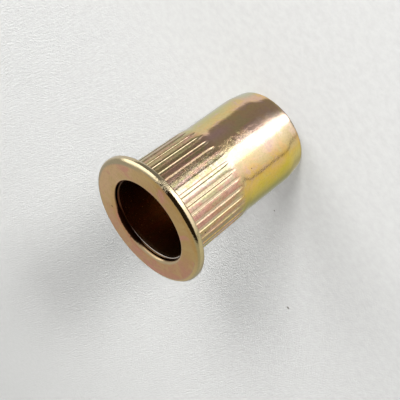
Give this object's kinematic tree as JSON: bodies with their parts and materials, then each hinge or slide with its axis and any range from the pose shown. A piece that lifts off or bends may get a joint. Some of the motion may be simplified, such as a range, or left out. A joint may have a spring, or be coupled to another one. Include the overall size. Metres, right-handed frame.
{
  "type": "threaded insert",
  "caption": "Flat-flange ribbed rivet nut: a thin-walled steel sleeve with an open threaded tail, set blind in a panel hole to take a screw.",
  "frame": {"origin": "centre of the tail face, on which the part stands", "axes": "+Z along the bore, from the tail face up to the flange face; +X and +Y are two directions across the bore, with a groove of the ribs centred on -Y"},
  "size_m": [0.018, 0.018, 0.0224],
  "materials": {
    "plated_steel": "bright yellow chromate over zinc plating, iridescent"
  },
  "bodies": {
    "root": {"rivet_nut": "plated_steel"}
  },
  "joints": []
}
